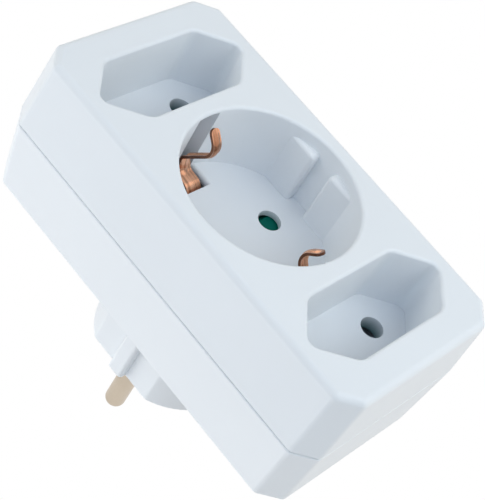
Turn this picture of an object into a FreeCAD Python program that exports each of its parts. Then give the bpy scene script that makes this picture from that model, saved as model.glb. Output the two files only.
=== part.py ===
import FreeCAD, Part
import math
import os
import re
import Sketcher

# A wall adapter: a white housing of two shells with one round earthed socket between two
# flat sockets in its front, and a round earthed plug at its back.
# X runs across the housing, Z up along it and Y from its front to the wall. The origin is
# the middle of the plug's end face. Heights are measured from that face towards the front.

SIZES = {
    # Housing, with its widest outline at the seam between the shells
    "side_margin": 6.25,
    "end_margin": 8.05,
    "front_draft_x": 2.4,
    "front_draft_z": 0.5,
    "rear_draft_x": 1.9,
    "rear_draft_z": 0.55,
    "corner_cut": 4.5,
    "front_depth": 18.0,
    "rear_depth": 19.5,
    "shell_wall": 2.0,
    "corner_round": 1.8,
    "front_round": 1.7,
    "rear_chamfer": 0.9,
    "seam_gap": 0.22,
    "seam_chamfer": 0.2,
    "lip_gap": 0.4,
    "lip_wall": 1.2,
    "lip_rise": 1.0,
    # Round socket
    "recess_radius": 19.65,
    "recess_depth": 17.45,
    "cup_wall": 1.7,
    "floor_wall": 1.6,
    "pin_offset": 9.5,
    "hole_radius": 2.65,
    "guide_rise": 2.45,
    "guide_slot": 4.95,
    "guide_drop": 3.2,
    "guide_round": 1.3,
    "guide_edge_round": 1.0,
    "channel_width": 5.9,
    "channel_depth": 2.9,
    "channel_drop": 0.9,
    "slot_length": 9.2,
    "slot_round": 1.0,
    "notch_rise": 1.05,
    "notch_depth": 1.8,
    "rim_round": 0.8,
    # Flat sockets
    "flat_gap": 4.15,
    "flat_margin": 5.4,
    "flat_tall": 15.7,
    "flat_depth": 15.3,
    "flat_hole_radius": 2.6,
    "flat_point_round": 2.2,
    "flat_corner_round": 3.5,
    "flat_rim_round": 0.8,
    "tube_wall": 1.0,
    "tube_length": 3.8,
    # Plug
    "plug_reach": 19.9,
    "tab_gap": 0.45,
    "plug_cut": 2.35,
    "plug_wall": 2.0,
    "plug_end": 3.0,
    "plug_round": 0.5,
    "plug_flat_round": 1.5,
    "ridge_width": 4.2,
    "ridge_back": 0.4,
    "ridge_round": 0.9,
    "window_width": 6.8,
    "window_low": 3.6,
    "window_high": 15.0,
    "pin_radius": 2.4,
    "pin_length": 19.0,
    "pin_gap": 0.05,
    "pin_tip": 1.9,
    "shoulder_radius": 2.6,
    "shoulder_rise": 0.4,
    "collar_radius": 3.5,
    "collar_rise": 2.0,
    "spigot_radius": 1.6,
    "spigot_head": 2.6,
    "spigot_rise": 0.7,
    # Screws and the posts that they hold together
    "post_gap": 0.8,
    "screw_side": 7.3,
    "screw_past": 2.15,
    "boss_radius": 3.0,
    "post_radius": 4.2,
    "screw_radius": 1.4,
    "screw_bite": 10.0,
    "screw_head": 2.7,
    "screw_head_rise": 1.9,
    "head_sink": 4.5,
    "thread_gap": 0.05,
    "screw_gap": 0.2,
    "head_gap": 0.3,
    "cross_width": 0.7,
    "cross_length": 3.2,
    "cross_depth": 1.1,
    # Inner cover
    "cover_wall": 1.6,
    "cover_gap": 0.4,
    "cover_end": 4.55,
    "cover_hole": 2.9,
    "rib_wall": 1.2,
    "rib_rise": 5.0,
    "rib_reach": 14.0,
    # Shutter and its spring
    "shutter_gap": 0.3,
    "shutter_wall": 1.6,
    "shutter_past": 3.1,
    "shutter_width": 5.7,
    "shutter_ramp": 1.1,
    "hub_radius": 4.4,
    "pivot_radius": 2.4,
    "pivot_gap": 0.05,
    "spring_x": 6.0,
    "spring_wall": 0.25,
    "spring_width": 1.1,
    "spring_fold": 1.4,
    "spring_bend": 0.4,
    "spring_length": 7.4,
    "spring_gap": 0.05,
    "stop_wall": 1.2,
    "stop_width": 2.4,
    # Live and neutral strips
    "clip_wall": 0.6,
    "clip_reach": 3.3,
    "clip_half": 3.1,
    "clip_tall": 7.3,
    "clip_bend": 0.7,
    "clip_grip": 0.2,
    "bar_wall": 0.8,
    "bar_tall": 7.5,
    "bar_past": 3.85,
    "tab_width": 8.0,
    "foot_width": 7.0,
    "foot_reach": 3.7,
    "bar_bend": 0.7,
    "rest_width": 3.0,
    "rest_before": 4.65,
    "rivet_radius": 1.0,
    "rivet_head": 1.8,
    "rivet_rise": 0.5,
    "rivet_inner_rise": 0.25,
    # Earth strips
    "earth_wall": 0.6,
    "earth_width": 4.2,
    "earth_shift": 0.5,
    "hook_width": 2.4,
    "earth_bend": 0.8,
    "riser_gap": 0.1,
    "riser_drop": 1.45,
    "ramp_past": 1.95,
    "step_rise": 0.25,
    "step_back": 3.8,
    "elbow_back": 2.8,
    "elbow_drop": 13.4,
    "throat_back": 9.4,
    "throat_drop": 5.95,
    "throat_bend": 3.3,
    "tip_back": 5.35,
    "tip_drop": 1.75,
    "tip_round": 1.0,
    "bead_width": 0.9,
    "bead_rise": 0.2,
    "leg_width": 6.0,
    "leg_back": 3.1,
    "bulge_back": 0.8,
    "bulge_high": 11.5,
    "bulge_low": 7.5,
    "leg_end": 4.8,
    "earth_rivet_radius": 1.5,
    "earth_rivet_head": 2.6,
    "earth_rivet_rise": 0.6,
}

# Sizes that follow from the others
FOLLOWING = {
    "bar_outside": "pin_offset + clip_reach + bar_wall",
    "screw_x": "bar_outside + post_gap + post_radius",
    "screw_z": "recess_radius + screw_past",
    "flat_offset": "recess_radius + flat_gap + flat_tall / 2",
    "seam_width": "2 * max(recess_radius + side_margin; screw_x + screw_side)",
    "seam_tall": "2 * (flat_offset + flat_tall / 2 + end_margin)",
    "front_width": "seam_width - 2 * front_draft_x",
    "front_tall": "seam_tall - 2 * front_draft_z",
    "rear_width": "seam_width - 2 * rear_draft_x",
    "rear_tall": "seam_tall - 2 * rear_draft_z",
    "flat_width": "seam_width - 2 * flat_margin",
    "guide_flat": "recess_radius - guide_rise",
    "channel_reach": "recess_radius + channel_depth",
    "slot_start": "channel_reach - slot_length",
    "plug_flat": "bar_outside + tab_gap + plug_wall",
    "plug_radius": "plug_flat + plug_cut",
    "ridge_reach": "plug_radius - ridge_back",
    "cover_tall": "seam_tall - 2 * cover_end",
    "shutter_reach": "pin_offset + shutter_past",
    "bar_end": "flat_offset + bar_past",
    "rest_z": "flat_offset - rest_before",
    "ramp_reach": "slot_start + ramp_past",
    "step_reach": "channel_reach - step_back",
    "elbow_reach": "channel_reach - elbow_back",
    "throat_reach": "channel_reach - throat_back",
    "tip_reach": "channel_reach - tip_back",
    "leg_reach": "plug_radius - leg_back",
    "leg_bulge": "plug_radius - bulge_back",
}

# Heights of the main planes
REAR = "plug_reach"
SEAM = f"({REAR} + rear_depth)"
FRONT_BACK = f"({SEAM} + seam_gap)"
FRONT = f"({SEAM} + front_depth)"
RECESS_FLOOR = f"({FRONT} - recess_depth)"
FLOOR_BACK = f"({RECESS_FLOOR} - floor_wall)"
SHUTTER_TOP = f"({FLOOR_BACK} - shutter_gap)"
SHUTTER_BACK = f"({SHUTTER_TOP} - shutter_wall)"
EARTH_TOP = f"({SHUTTER_BACK} - shutter_gap - earth_rivet_rise)"
COVER_TOP = f"({EARTH_TOP} - earth_wall)"
TUBE_BACK = f"({FRONT} - flat_depth - tube_length)"
COVER_BACK = f"({COVER_TOP} - cover_wall)"
BAR_BACK = f"({COVER_BACK} - bar_tall)"
REAR_INSIDE = f"({REAR} + shell_wall)"
HEAD_SEAT = f"({REAR} + head_sink)"
FOOT_BACK = "(plug_end + collar_rise)"
BAR_INSIDE = "(pin_offset + clip_reach)"

# Half sizes of the rear shell's cavity, which its lip carries on past the seam
CAVITY_X = "(seam_width / 2 - shell_wall - lip_gap - lip_wall)"
CAVITY_Z = "(seam_tall / 2 - shell_wall - lip_gap - lip_wall)"
WALL_CUT = "(2 - sqrt(2))"
FUNCTIONS = ("sqrt", "max")

DOCUMENT = FreeCAD.newDocument("adapter")
SHEET = DOCUMENT.addObject("Spreadsheet::Sheet", "Sizes")
for row, (alias, size) in enumerate(SIZES.items(), start=1):
    SHEET.set(f"A{row}", alias)
    SHEET.set(f"B{row}", str(size))
    SHEET.setAlias(f"B{row}", alias)
DOCUMENT.recompute()


# Sizes and expressions


def expression(text):
    """Puts the sheet's name before each size that the text names or follows from."""

    def named(match):
        word = match.group(0)
        if word in FOLLOWING:
            return f"({expression(FOLLOWING[word])})"
        return word if word in FUNCTIONS else f"Sizes.{word}"

    return re.sub(r"[a-z][a-z_]*", named, str(text))


def value(text):
    return float(SHEET.evalExpression(expression(text)))


def bind(thing, **sizes):
    """Ties properties of an object to the sheet."""
    for name, text in sizes.items():
        thing.setExpression(name, expression(text))


def place(thing, x, height, z):
    """Ties an object's place to the sheet."""
    for axis, text in (("x", x), ("y", f"-({height})"), ("z", z)):
        thing.setExpression(f"Placement.Base.{axis}", expression(text))


# Sketches


def new_body(name):
    body = DOCUMENT.addObject("PartDesign::Body", name)
    body.Label = name
    return body


def origin_feature(body, role):
    return next(feature for feature in body.Origin.OriginFeatures if feature.Role == role)


def sketch_at(body, height, role="XZ_Plane"):
    """An empty sketch. On the XZ plane its normal points to the front, and height is along it."""
    sketch = body.newObject("Sketcher::SketchObject", f"{body.Name}_sketch")
    sketch.AttachmentSupport = [(origin_feature(body, role), "")]
    sketch.MapMode = "FlatFace"
    sketch.setExpression("AttachmentOffset.Base.z", expression(height))
    return sketch


def hold(sketch, kind, first, text, second=None):
    """Adds a distance or radius and ties it to the sheet."""
    if second is None:
        constraint = Sketcher.Constraint(kind, first, value(text))
    else:
        constraint = Sketcher.Constraint(kind, -1, 1, first, second, value(text))
    index = sketch.addConstraint(constraint)
    sketch.setExpression(f"Constraints[{index}]", expression(text))


def add_outline(sketch, corners):
    """Draws a closed outline of straight lines through its corners."""
    points = [FreeCAD.Vector(value(across), value(along), 0) for across, along in corners]
    first = sketch.GeometryCount
    sketch.addGeometry([Part.LineSegment(a, b) for a, b in zip(points, points[1:] + points[:1])])
    for index, (across, along) in enumerate(corners):
        line = first + index
        after = first + (index + 1) % len(corners)
        sketch.addConstraint(Sketcher.Constraint("Coincident", line, 2, after, 1))
        hold(sketch, "DistanceX", line, across, 1)
        hold(sketch, "DistanceY", line, along, 1)


def add_box(sketch, left, low, right, high):
    add_outline(sketch, [(left, low), (right, low), (right, high), (left, high)])


def add_centred_box(sketch, half_width, half_tall):
    add_box(sketch, f"-({half_width})", f"-({half_tall})", half_width, half_tall)


def add_circle(sketch, across, along, radius):
    centre = FreeCAD.Vector(value(across), value(along), 0)
    axis = FreeCAD.Vector(0, 0, 1)
    circle = sketch.addGeometry(Part.Circle(centre, axis, value(radius)))
    hold(sketch, "DistanceX", circle, across, 3)
    hold(sketch, "DistanceY", circle, along, 3)
    hold(sketch, "Radius", circle, radius)


def add_octagon(sketch, half_width, half_tall, cut):
    """A rectangle with its corners cut off at 45 degrees."""
    near_x = f"({half_width} - {cut})"
    near_z = f"({half_tall} - {cut})"
    corners = [
        (half_width, f"-{near_z}"),
        (half_width, near_z),
        (near_x, half_tall),
        (f"-{near_x}", half_tall),
        (f"-{half_width}", near_z),
        (f"-{half_width}", f"-{near_z}"),
        (f"-{near_x}", f"-{half_tall}"),
        (near_x, f"-{half_tall}"),
    ]
    add_outline(sketch, corners)


def add_hexagon(sketch, side, grow):
    """A flat socket's outline: level edges above and below, and 45 degree points at its ends."""
    middle = f"{side} * flat_offset"
    half_tall = f"(flat_tall / 2 + {grow})"
    point = f"(flat_width / 2 + {grow} * sqrt(2))"
    level = f"({point} - {half_tall})"
    corners = [
        (point, middle),
        (level, f"{middle} + {half_tall}"),
        (f"-{level}", f"{middle} + {half_tall}"),
        (f"-{point}", middle),
        (f"-{level}", f"{middle} - {half_tall}"),
        (level, f"{middle} - {half_tall}"),
    ]
    add_outline(sketch, corners)


def add_flatted_circle(sketch, radius, flat):
    """A circle about the origin with a flat on either side."""
    size = value(radius)
    reach = value(flat)
    angle = math.acos(reach / size)
    rise = size * math.sin(angle)
    circle = Part.Circle(FreeCAD.Vector(0, 0, 0), FreeCAD.Vector(0, 0, 1), size)
    left = Part.LineSegment(FreeCAD.Vector(-reach, rise, 0), FreeCAD.Vector(-reach, -rise, 0))
    right = Part.LineSegment(FreeCAD.Vector(reach, -rise, 0), FreeCAD.Vector(reach, rise, 0))
    top = Part.ArcOfCircle(circle, angle, math.pi - angle)
    bottom = Part.ArcOfCircle(circle, math.pi + angle, 2 * math.pi - angle)
    sketch.addGeometry([top, left, bottom, right])
    for arc in (0, 2):
        sketch.addConstraint(Sketcher.Constraint("Coincident", arc, 3, -1, 1))
    for line in range(4):
        sketch.addConstraint(Sketcher.Constraint("Coincident", line, 2, (line + 1) % 4, 1))
    for side in (1, 3):
        sketch.addConstraint(Sketcher.Constraint("Vertical", side))
    hold(sketch, "Radius", 0, radius)
    sketch.addConstraint(Sketcher.Constraint("Equal", 0, 2))
    hold(sketch, "DistanceX", 1, f"-{flat}", 1)
    hold(sketch, "DistanceX", 3, flat, 1)


# Solid features


def pad(body, sketch, length, rearward=False):
    feature = body.newObject("PartDesign::Pad", f"{body.Name}_pad")
    feature.Profile = sketch
    feature.Reversed = rearward
    bind(feature, Length=length)
    return feature


def pocket(body, sketch, length, forward=False):
    feature = body.newObject("PartDesign::Pocket", f"{body.Name}_pocket")
    feature.Profile = sketch
    feature.Reversed = forward
    bind(feature, Length=length)
    return feature


def through_both_ways(body, sketch, length):
    """A pocket that runs the same way to both sides of its sketch."""
    feature = pocket(body, sketch, length)
    feature.Midplane = True
    return feature


def revolve(body, sketch):
    """Turns a sketch on the XY plane once round the Y axis."""
    feature = body.newObject("PartDesign::Revolution", f"{body.Name}_turned")
    feature.Profile = sketch
    feature.ReferenceAxis = (origin_feature(body, "Y_Axis"), [""])
    feature.Angle = 360
    return feature


def edges_of(feature, wanted):
    """Names of the edges whose every end and middle the test accepts."""
    DOCUMENT.recompute()
    names = []
    for index, edge in enumerate(feature.Shape.Edges, start=1):
        span = edge.ParameterRange
        samples = [edge.valueAt(span[0] + (span[1] - span[0]) * share) for share in (0, 0.5, 1)]
        if all(wanted(point) for point in samples):
            names.append(f"Edge{index}")
    if not names:
        raise RuntimeError(f"no edge of {feature.Name} was found for a rounding")
    return names


def round_edges(body, feature, wanted, radius):
    rounding = body.newObject("PartDesign::Fillet", f"{body.Name}_fillet")
    rounding.Base = (feature, edges_of(feature, wanted))
    bind(rounding, Radius=radius)
    return rounding


def chamfer_edges(body, feature, wanted, size):
    chamfer = body.newObject("PartDesign::Chamfer", f"{body.Name}_chamfer")
    chamfer.Base = (feature, edges_of(feature, wanted))
    bind(chamfer, Size=size)
    return chamfer


def at_height(point, height):
    return abs(-point.y - value(height)) < 0.01


def is_upright(point, low, high):
    return value(low) - 0.01 < -point.y < value(high) + 0.01


def cylinder(name, radius, length, x, height, z, direction):
    """A plain cylinder whose base is at the given place."""
    solid = DOCUMENT.addObject("Part::Cylinder", name)
    bind(solid, Radius=radius, Height=length)
    solid.Placement.Rotation = FreeCAD.Rotation(FreeCAD.Vector(0, 0, 1), direction)
    place(solid, x, height, z)
    return solid


def fused(name, pieces):
    solid = DOCUMENT.addObject("Part::MultiFuse", name)
    solid.Shapes = pieces
    return solid


def group(name, solids):
    """Like fasteners that share one sub-part."""
    fasteners = DOCUMENT.addObject("Part::Compound", name)
    fasteners.Label = name
    fasteners.Links = solids
    return fasteners


def set_shape(name, shape):
    piece = DOCUMENT.addObject("Part::Feature", name)
    piece.Label = name
    piece.Shape = shape
    return piece


# Bent strip


def offset_side(points, bends, offset):
    """Edges of one side of a bent strip, and its two end points, in the plane of the bends."""
    edges = []
    last = points[0] + left_of(points[0], points[1]) * offset
    begin = last
    for before, corner, after, bend in zip(points, points[1:], points[2:], bends):
        ahead = (corner - before).normalize()
        onward = (after - corner).normalize()
        turn = math.atan2(ahead.x * onward.y - ahead.y * onward.x, ahead.dot(onward))
        reach = bend * math.tan(abs(turn) / 2)
        start = corner - ahead * reach
        finish = corner + onward * reach
        side = math.copysign(1, turn)
        centre = start + left_of(before, corner) * bend * side
        middle = centre + (corner - centre).normalize() * (bend - side * offset)
        start = start + left_of(before, corner) * offset
        finish = finish + left_of(corner, after) * offset
        edges.append(Part.makeLine(last, start))
        edges.append(Part.Arc(start, middle, finish).toShape())
        last = finish
    end = points[-1] + left_of(points[-2], points[-1]) * offset
    edges.append(Part.makeLine(last, end))
    return edges, begin, end


def left_of(start, finish):
    """The unit vector to the left of a step."""
    step = (finish - start).normalize()
    return FreeCAD.Vector(-step.y, step.x, 0)


def bent_face(points, bends, left, right):
    """The section of a strip along its length, from its centre line and its two sides."""
    line = [FreeCAD.Vector(across, along, 0) for across, along in points]
    left_edges, left_begin, left_end = offset_side(line, bends, left)
    right_edges, right_begin, right_end = offset_side(line, bends, -right)
    caps = [Part.makeLine(left_begin, right_begin), Part.makeLine(left_end, right_end)]
    wire = Part.Wire(Part.__sortEdges__(left_edges + right_edges + caps))
    return Part.Face(wire)


def even_bends(points, bend):
    """The same bend at every inner point."""
    return [bend] * (len(points) - 2)


def upright_strip(points, bends, left, right, width):
    """A strip bent in the plane of Z and height, centred across X."""
    solid = bent_face(points, bends, left, right).extrude(FreeCAD.Vector(0, 0, width))
    turn = FreeCAD.Matrix(0, 0, 1, -width / 2, 0, -1, 0, 0, 1, 0, 0, 0, 0, 0, 0, 1)
    solid.Placement = FreeCAD.Placement(turn)
    return solid


# Housing


def drafted_box(body, front, front_size, back, back_size):
    """A box whose outline changes evenly from front to back, with its corners cut off."""
    box = body.newObject("PartDesign::AdditiveWedge", f"{body.Name}_box")
    bind(box, Ymin=f"-({front})", Ymax=f"-({back})")
    for axis, size in (("X", front_size[0]), ("Z", front_size[1])):
        bind(box, **{f"{axis}min": f"-{size} / 2", f"{axis}max": f"{size} / 2"})
    for axis, size in (("X", back_size[0]), ("Z", back_size[1])):
        bind(box, **{f"{axis}2min": f"-{size} / 2", f"{axis}2max": f"{size} / 2"})
    least_x = min(value(front_size[0]), value(back_size[0])) / 2 - 0.01
    least_z = min(value(front_size[1]), value(back_size[1])) / 2 - 0.01
    corners = lambda p: abs(p.x) > least_x and abs(p.z) > least_z
    return chamfer_edges(body, box, corners, "corner_cut")


def is_box_corner(point, front, front_size, back, back_size):
    """Points of the eight upright edges beside a drafted box's cut corners."""
    share = (-point.y - value(back)) / (value(front) - value(back))
    half_x = value(front_size[0]) / 2 * share + value(back_size[0]) / 2 * (1 - share)
    half_z = value(front_size[1]) / 2 * share + value(back_size[1]) / 2 * (1 - share)
    past_x = abs(point.x) - half_x
    past_z = abs(point.z) - half_z
    on_cut = abs(past_x + past_z + value("corner_cut")) < 0.1
    return on_cut and max(past_x, past_z) > -0.1


def front_shell():
    """The front moulding: a drafted box with its three socket cups."""
    body = new_body("front_shell")
    ends = (FRONT, ("front_width", "front_tall"), FRONT_BACK, ("seam_width", "seam_tall"))
    box = drafted_box(body, *ends)
    hollow = body.newObject("PartDesign::Thickness", "front_shell_wall")
    hollow.Base = (box, face_at(box, FRONT_BACK))
    hollow.Join = "Intersection"
    hollow.Reversed = True
    bind(hollow, Value="shell_wall")
    outside = round_edges(body, hollow, lambda p: is_box_corner(p, *ends), "corner_round")
    outside = round_edges(body, outside, lambda p: at_height(p, FRONT), "front_round")
    chamfer_edges(body, outside, is_outer_seam, "seam_chamfer")
    add_cups(body)
    add_front_posts(body)
    cut_round_socket(body)
    add_guide_blocks(body)
    cut_flat_sockets(body)
    return body


def face_at(feature, height):
    """Names of the faces that lie wholly at a height."""
    DOCUMENT.recompute()
    named = enumerate(feature.Shape.Faces, start=1)
    return [f"Face{index}" for index, face in named if all_at(face, height)]


def all_at(face, height):
    return all(at_height(vertex.Point, height) for vertex in face.Vertexes)


def is_outer_seam(point):
    """Points of the front shell's back outline, but not of the cavity's edge inside it."""
    wide = abs(point.x) > value("seam_width / 2 - seam_chamfer")
    tall = abs(point.z) > value("seam_tall / 2 - seam_chamfer")
    cut = value("(seam_width + seam_tall) / 2 - corner_cut - seam_chamfer")
    return at_height(point, FRONT_BACK) and (wide or tall or abs(point.x) + abs(point.z) > cut)


def add_cups(body):
    """Walls and floors of the recesses and channels, and tubes behind the flat ones' holes."""
    round_back = sketch_at(body, FLOOR_BACK)
    add_circle(round_back, "0", "0", "recess_radius + cup_wall")
    pad(body, round_back, "recess_depth + floor_wall - shell_wall / 2")
    channels = sketch_at(body, FLOOR_BACK)
    add_centred_box(channels, "channel_width / 2 + cup_wall", "channel_reach + cup_wall")
    pad(body, channels, "recess_depth + floor_wall - shell_wall / 2")
    for side in (1, -1):
        flat_back = sketch_at(body, f"{FRONT} - flat_depth - floor_wall")
        add_hexagon(flat_back, side, "cup_wall")
        pad(body, flat_back, "flat_depth + floor_wall - shell_wall / 2")
        tubes = sketch_at(body, TUBE_BACK)
        for right in (1, -1):
            place_words = (f"{right} * pin_offset", f"{side} * flat_offset")
            add_circle(tubes, *place_words, "flat_hole_radius + tube_wall")
        pad(body, tubes, f"{FRONT} - flat_depth - floor_wall / 2 - {TUBE_BACK}")


def screw_places():
    return [(f"{right} * screw_x", f"{up} * screw_z") for right in (1, -1) for up in (1, -1)]


def add_front_posts(body):
    """Screw posts, the shutter's pivot and the stop for its spring."""
    posts = sketch_at(body, SEAM)
    bores = sketch_at(body, SEAM)
    for x, z in screw_places():
        add_circle(posts, x, z, "boss_radius")
        add_circle(bores, x, z, "screw_radius + thread_gap")
    pad(body, posts, "front_depth - shell_wall / 2")
    pocket(body, bores, "screw_bite + 1", forward=True)
    pivot = sketch_at(body, FLOOR_BACK)
    add_circle(pivot, "0", "0", "pivot_radius")
    pad(body, pivot, "shutter_gap + shutter_wall", rearward=True)
    stop = sketch_at(body, FLOOR_BACK)
    high = "-(shutter_width / 2 + spring_length + 2 * spring_gap)"
    half = "stop_width / 2"
    add_box(stop, f"-spring_x - {half}", f"{high} - stop_wall", f"-spring_x + {half}", high)
    pad(body, stop, "shutter_gap + shutter_wall", rearward=True)


def cut_round_socket(body):
    """The round recess, the earth clips' channels, notches and slots, and the contact holes."""
    recess = sketch_at(body, FRONT)
    add_circle(recess, "0", "0", "recess_radius")
    sunk = pocket(body, recess, "recess_depth")
    sunk = round_edges(body, sunk, is_rim, "rim_round")
    channels = sketch_at(body, f"{FRONT} - channel_drop")
    add_centred_box(channels, "channel_width / 2", "channel_reach")
    pocket(body, channels, "recess_depth - channel_drop")
    notches = sketch_at(body, f"{RECESS_FLOOR} + notch_rise")
    half = "channel_width / 2"
    notch_start = "channel_reach - notch_depth"
    notch_end = "channel_reach + notch_depth"
    add_box(notches, f"-{half}", notch_start, half, notch_end)
    add_box(notches, f"-{half}", f"-({notch_end})", half, f"-({notch_start})")
    pocket(body, notches, "notch_rise + floor_wall + 1")
    slots = sketch_at(body, RECESS_FLOOR)
    add_box(slots, f"-{half}", "slot_start", half, "channel_reach")
    add_box(slots, f"-{half}", "-channel_reach", half, "-slot_start")
    for side in (1, -1):
        add_circle(slots, f"{side} * pin_offset", "0", "hole_radius")
    opened = pocket(body, slots, "floor_wall + 1")
    round_edges(body, opened, is_slot_side, "slot_round")


def is_slot_side(point):
    """Edges of the round recess's floor along the two slots."""
    beside = abs(abs(point.x) - value("channel_width / 2")) < 0.01
    inside = value("slot_start") - 0.01 < abs(point.z) < value("recess_radius")
    return beside and inside and at_height(point, RECESS_FLOOR)


def is_rim(point):
    radius = math.hypot(point.x, point.z)
    return at_height(point, FRONT) and abs(radius - value("recess_radius")) < 0.01


def add_guide_blocks(body):
    """Four blocks in the round recess that guide the flats and the ridge of a plug."""
    blocks = sketch_at(body, RECESS_FLOOR)
    inside = "(recess_radius + cup_wall / 2)"
    low = "(guide_slot / 2)"
    high = "(sqrt(recess_radius * recess_radius - guide_flat * guide_flat) + cup_wall / 4)"
    low_reach = f"sqrt({inside} * {inside} - {low} * {low})"
    high_reach = f"sqrt({inside} * {inside} - {high} * {high})"
    for right in (1, -1):
        for up in (1, -1):
            corners = [
                (f"{right} * guide_flat", f"{up} * {low}"),
                (f"{right} * guide_flat", f"{up} * {high}"),
                (f"{right} * {high_reach}", f"{up} * {high}"),
                (f"{right} * {low_reach}", f"{up} * {low}"),
            ]
            add_outline(blocks, corners)
    added = pad(body, blocks, "recess_depth - guide_drop")
    cornered = round_edges(body, added, is_guide_corner, "guide_round")
    round_edges(body, cornered, is_guide_flat_edge, "guide_edge_round")


def on_guide_block(point):
    """Whether a point lies beside the guide slot, and whether it lies on a block's front."""
    upright = is_upright(point, RECESS_FLOOR, f"{FRONT} - guide_drop")
    inside = math.hypot(point.x, point.z) < value("recess_radius") + 0.01
    if not (inside and upright and abs(point.x) > value("guide_flat") - 0.01):
        return False, False
    beside_slot = abs(abs(point.z) - value("guide_slot / 2")) < 0.01
    return beside_slot, at_height(point, f"{FRONT} - guide_drop")


def is_guide_corner(point):
    """Edges between the guide blocks' fronts and their sides beside the slot."""
    return all(on_guide_block(point))


def is_guide_flat_edge(point):
    """Edges of the guide blocks' flats at the front, beside the slot and on the round between."""
    past_front = -point.y - value(f"{FRONT} - guide_drop - guide_round")
    past_side = value("guide_slot / 2 + guide_round") - abs(point.z)
    on_round = abs(math.hypot(past_front, past_side) - value("guide_round")) < 0.01
    on_flat = abs(abs(point.x) - value("guide_flat")) < 0.01
    on_round = on_round and min(past_front, past_side) > -0.01
    return on_flat and (on_round or any(on_guide_block(point)))


def cut_flat_sockets(body):
    for side in (1, -1):
        recess = sketch_at(body, FRONT)
        add_hexagon(recess, side, "0")
        sunk = pocket(body, recess, "flat_depth")
        sunk = round_edges(body, sunk, lambda p, s=side: is_flat_point(p, s), "flat_point_round")
        sunk = round_edges(body, sunk, lambda p, s=side: is_flat_corner(p, s), "flat_corner_round")
        round_edges(body, sunk, lambda p, s=side: is_flat_rim(p, s), "flat_rim_round")
        holes = sketch_at(body, f"{FRONT} - flat_depth")
        for right in (1, -1):
            add_circle(holes, f"{right} * pin_offset", f"{side} * flat_offset", "flat_hole_radius")
        pocket(body, holes, f"{FRONT} - flat_depth - {TUBE_BACK} + 1")


def in_flat_socket(point, side):
    near_x = abs(point.x) < value("flat_width / 2") + 0.01
    near_z = abs(point.z - side * value("flat_offset")) < value("flat_tall / 2") + 0.01
    return near_x and near_z


def is_flat_upright(point, side, out, along):
    """Upright edges of a flat recess that are this far out and along from its middle."""
    past_x = abs(abs(point.x) - value(out))
    past_z = abs(abs(point.z - side * value("flat_offset")) - value(along))
    return max(past_x, past_z) < 0.01 and is_upright(point, f"{FRONT} - flat_depth", FRONT)


def is_flat_point(point, side):
    """The upright edges at the two points of a flat recess."""
    return is_flat_upright(point, side, "flat_width / 2", "0")


def is_flat_corner(point, side):
    """The four other upright edges of a flat recess."""
    return is_flat_upright(point, side, "(flat_width - flat_tall) / 2", "flat_tall / 2")


def is_flat_rim(point, side):
    return at_height(point, FRONT) and in_flat_socket(point, side)


def rear_shell():
    """The rear moulding: the other half of the box, with the hollow plug on its back."""
    body = new_body("rear_shell")
    ends = (SEAM, ("seam_width", "seam_tall"), REAR, ("rear_width", "rear_tall"))
    box = drafted_box(body, *ends)
    outside = round_edges(body, box, lambda p: is_box_corner(p, *ends), "corner_round")
    outside = chamfer_edges(body, outside, lambda p: at_height(p, REAR), "rear_chamfer")
    chamfer_edges(body, outside, lambda p: at_height(p, SEAM), "seam_chamfer")
    add_plug(body)
    hollow_rear_shell(body)
    add_rear_posts(body)
    return body


def add_plug(body):
    end = sketch_at(body, "0")
    add_flatted_circle(end, "plug_radius", "plug_flat")
    plug = pad(body, end, f"{REAR} + shell_wall / 2")
    plug = round_edges(body, plug, is_flat_edge, "plug_flat_round")
    round_edges(body, plug, lambda p: at_height(p, "0"), "plug_round")
    ridges = sketch_at(body, "plug_round")
    add_centred_box(ridges, "ridge_reach", "ridge_width / 2")
    ridged = pad(body, ridges, f"{REAR_INSIDE} - plug_round - shell_wall / 2")
    round_edges(body, ridged, is_ridge_edge, "ridge_round")


def is_flat_edge(point):
    """The four edges along the plug where its flats meet its round sides."""
    high = math.sqrt(value("plug_radius") ** 2 - value("plug_flat") ** 2)
    return abs(abs(point.x) - value("plug_flat")) < 0.01 and abs(abs(point.z) - high) < 0.01


def is_ridge_edge(point):
    """The long outer edges of the plug's two ridges."""
    outside = abs(abs(point.x) - value("ridge_reach")) < 0.01
    beside = abs(abs(point.z) - value("ridge_width / 2")) < 0.01
    return outside and beside


def hollow_rear_shell(body):
    """The cavity, the lip that carries its wall on into the front shell, and the hollow plug."""
    inset = "(shell_wall + lip_gap + lip_wall)"
    cut = f"(corner_cut - {WALL_CUT} * {inset})"
    lip_cut = f"(corner_cut - {WALL_CUT} * (shell_wall + lip_gap))"
    lip = sketch_at(body, f"{SEAM} - lip_wall")
    add_octagon(lip, f"({CAVITY_X} + lip_wall)", f"({CAVITY_Z} + lip_wall)", lip_cut)
    pad(body, lip, "lip_rise + lip_wall")
    cavity = sketch_at(body, f"{SEAM} + lip_rise")
    add_octagon(cavity, CAVITY_X, CAVITY_Z, cut)
    pocket(body, cavity, f"{SEAM} + lip_rise - {REAR_INSIDE}")
    inside = sketch_at(body, REAR_INSIDE)
    add_flatted_circle(inside, "(plug_radius - plug_wall)", "(plug_flat - plug_wall)")
    pocket(body, inside, f"{REAR_INSIDE} - plug_end")
    windows = sketch_at(body, "0", "XY_Plane")
    half = "window_width / 2"
    add_box(windows, f"-{half}", "-window_high", half, "-window_low")
    through_both_ways(body, windows, "2 * plug_radius + 2")
    pins = sketch_at(body, "plug_end")
    for side in (1, -1):
        add_circle(pins, f"{side} * pin_offset", "0", "shoulder_radius + pin_gap")
    pocket(body, pins, "plug_end + 1")


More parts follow.
